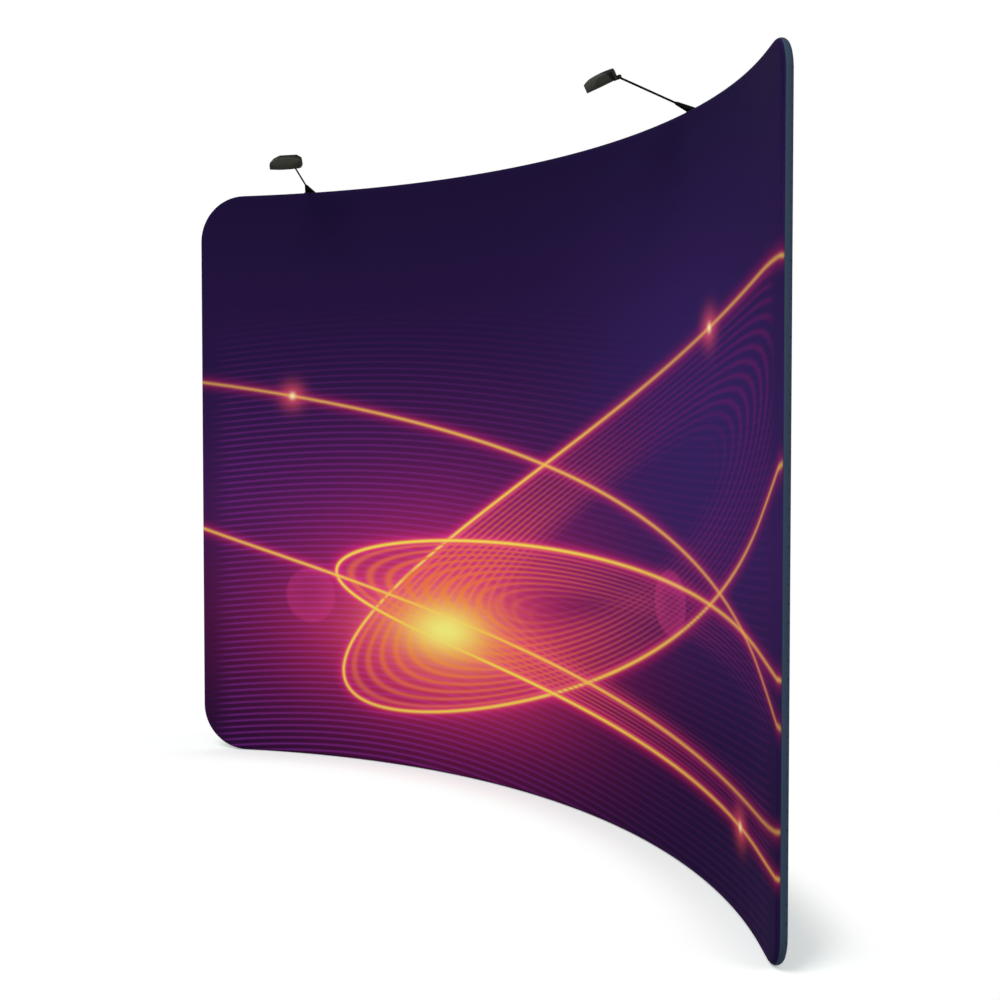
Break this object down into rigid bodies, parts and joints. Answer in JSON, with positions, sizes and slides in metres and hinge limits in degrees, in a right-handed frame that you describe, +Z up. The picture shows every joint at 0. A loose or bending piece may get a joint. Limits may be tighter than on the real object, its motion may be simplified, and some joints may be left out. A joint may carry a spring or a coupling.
{
  "type": "pop up display backwall",
  "caption": "Curved free-standing exhibition wall: bent tube frame in a zipped stretch-fabric cover, with arm spotlights on its top edge.",
  "frame": {"origin": "on the floor under the middle of the whole, centre of the box's underside", "axes": "+Z up; +X to the viewer's right along the wall's width; the hollow printed side faces -Y"},
  "size_m": [3, 0.6191, 2.4026],
  "materials": {
    "tube_aluminium": "satin anodised",
    "spigot_aluminium": "mill finish",
    "saddle_nylon": "moulded, fine grain",
    "zinc_steel": "zinc plated",
    "spring_steel": "bright spring steel",
    "printed_fabric": "stretch knit, full-width colour print",
    "lining_fabric": "stretch knit, plain slate",
    "band_fabric": "stretch knit, plain slate",
    "zip_tape_fabric": "woven tape",
    "zip_coil_plastic": "nylon coil",
    "zip_metal": "cast and plated",
    "bracket_black": "satin black powder coat",
    "knob_plastic": "moulded, fluted",
    "base_plastic": "moulded, satin black",
    "rod_black": "satin black",
    "lead_rubber": "two-core sheath",
    "socket_plastic": "moulded",
    "hood_plastic": "moulded charcoal, dotted at the rear",
    "board_white": "white solder mask",
    "lamp_glass": "clear"
  },
  "bodies": {
    "wall": {"top_rail_left": "tube_aluminium", "top_rail_centre": "tube_aluminium", "top_rail_right": "tube_aluminium", "bottom_rail_left": "tube_aluminium", "bottom_rail_centre": "tube_aluminium", "bottom_rail_right": "tube_aluminium", "elbow_top_left": "tube_aluminium", "elbow_top_right": "tube_aluminium", "elbow_bottom_left": "tube_aluminium", "elbow_bottom_right": "tube_aluminium", "upright_left_lower": "tube_aluminium", "upright_left_upper": "tube_aluminium", "upright_right_lower": "tube_aluminium", "upright_right_upper": "tube_aluminium", "post_left_lower": "tube_aluminium", "post_left_upper": "tube_aluminium", "post_right_lower": "tube_aluminium", "post_right_upper": "tube_aluminium", "tube_spigots": "spigot_aluminium", "post_saddles": "saddle_nylon", "rivet_nuts": "zinc_steel", "front_panel": "printed_fabric", "back_panel": "lining_fabric", "edge_band_top": "band_fabric", "edge_band_bottom": "band_fabric", "edge_band_left": "band_fabric", "edge_band_right": "band_fabric", "zip_tape": "zip_tape_fabric", "zip_coil": "zip_coil_plastic", "bracket_left": "bracket_black", "bracket_right": "bracket_black", "swivel_bolts": "zinc_steel"},
    "snap_top_left": {"snap_top_left": "spring_steel"},
    "snap_top_right": {"snap_top_right": "spring_steel"},
    "snap_bottom_left": {"snap_bottom_left": "spring_steel"},
    "snap_bottom_right": {"snap_bottom_right": "spring_steel"},
    "snap_upright_left": {"snap_upright_left": "spring_steel"},
    "snap_upright_right": {"snap_upright_right": "spring_steel"},
    "snap_post_left": {"snap_post_left": "spring_steel"},
    "snap_post_right": {"snap_post_right": "spring_steel"},
    "thumbscrew_left": {"thumbscrew_left": "knob_plastic"},
    "thumbscrew_right": {"thumbscrew_right": "knob_plastic"},
    "zip_slider": {"zip_slider": "zip_metal"},
    "zip_pull": {"zip_pull": "zip_metal"},
    "left_arm": {"arm_base_left": "base_plastic", "arm_rod_left": "rod_black", "arm_lead_left": "lead_rubber", "power_socket_left": "socket_plastic"},
    "left_head": {"hood_left": "hood_plastic", "head_pin_left": "zinc_steel", "led_board_left": "board_white", "lamp_glass_left": "lamp_glass"},
    "right_arm": {"arm_base_right": "base_plastic", "arm_rod_right": "rod_black", "arm_lead_right": "lead_rubber", "power_socket_right": "socket_plastic"},
    "right_head": {"hood_right": "hood_plastic", "head_pin_right": "zinc_steel", "led_board_right": "board_white", "lamp_glass_right": "lamp_glass"}
  },
  "joints": [
    {"name": "snap_top_left_press", "type": "slide", "parent": "wall", "child": "snap_top_left", "axis": [0, 0, 1], "range_m": [0, 0.003], "stiffness_N_per_m": 2000},
    {"name": "snap_top_right_press", "type": "slide", "parent": "wall", "child": "snap_top_right", "axis": [0, 0, 1], "range_m": [0, 0.003], "stiffness_N_per_m": 2000},
    {"name": "snap_bottom_left_press", "type": "slide", "parent": "wall", "child": "snap_bottom_left", "axis": [0, 0, -1], "range_m": [0, 0.003], "stiffness_N_per_m": 2000},
    {"name": "snap_bottom_right_press", "type": "slide", "parent": "wall", "child": "snap_bottom_right", "axis": [0, 0, -1], "range_m": [0, 0.003], "stiffness_N_per_m": 2000},
    {"name": "snap_upright_left_press", "type": "slide", "parent": "wall", "child": "snap_upright_left", "axis": [-0.7777, -0.6287, 0], "range_m": [0, 0.003], "stiffness_N_per_m": 2000},
    {"name": "snap_post_left_press", "type": "slide", "parent": "wall", "child": "snap_post_left", "axis": [-0.987, -0.1608, 0], "range_m": [0, 0.003], "stiffness_N_per_m": 2000},
    {"name": "snap_upright_right_press", "type": "slide", "parent": "wall", "child": "snap_upright_right", "axis": [0.7777, -0.6287, 0], "range_m": [0, 0.003], "stiffness_N_per_m": 2000},
    {"name": "snap_post_right_press", "type": "slide", "parent": "wall", "child": "snap_post_right", "axis": [0.987, -0.1608, 0], "range_m": [0, 0.003], "stiffness_N_per_m": 2000},
    {"name": "thumbscrew_left_turn", "type": "hinge", "parent": "wall", "child": "thumbscrew_left", "pos_m": [-1.13586, 0.01216, 2.27019], "axis": [-0.4879, 0.8031, -0.342], "continuous": true},
    {"name": "thumbscrew_right_turn", "type": "hinge", "parent": "wall", "child": "thumbscrew_right", "pos_m": [0.80412, 0.177, 2.27019], "axis": [0.3454, 0.8739, -0.342], "continuous": true},
    {"name": "zip_slide", "type": "hinge", "parent": "wall", "child": "zip_slider", "pos_m": [0, -1.85753, 0.07], "axis": [0, 0, 1], "range_deg": [0, 73.64]},
    {"name": "zip_pull_swing", "type": "hinge", "parent": "zip_slider", "child": "zip_pull", "pos_m": [1.30124, -0.11953, 0.07], "axis": [0, 0, 1], "range_deg": [-170, 0]},
    {"name": "left_arm_swivel", "type": "hinge", "parent": "wall", "child": "left_arm", "pos_m": [-1.13031, 0.00303, 2.2979], "axis": [-0.1604, 0.2641, 0.9511], "range_deg": [-69, 51]},
    {"name": "left_head_tilt", "type": "hinge", "parent": "left_arm", "child": "left_head", "pos_m": [-0.96005, -0.19468, 2.38153], "axis": [0.7538, 0.6568, 0.0181], "range_deg": [-60, 45]},
    {"name": "right_arm_swivel", "type": "hinge", "parent": "wall", "child": "right_arm", "pos_m": [0.8002, 0.16707, 2.2979], "axis": [0.1136, 0.2874, 0.9511], "range_deg": [-60, 60]},
    {"name": "right_head_tilt", "type": "hinge", "parent": "right_arm", "child": "right_head", "pos_m": [0.70441, -0.07528, 2.38257], "axis": [0.9166, -0.3912, -0.0829], "range_deg": [-60, 45]}
  ]
}
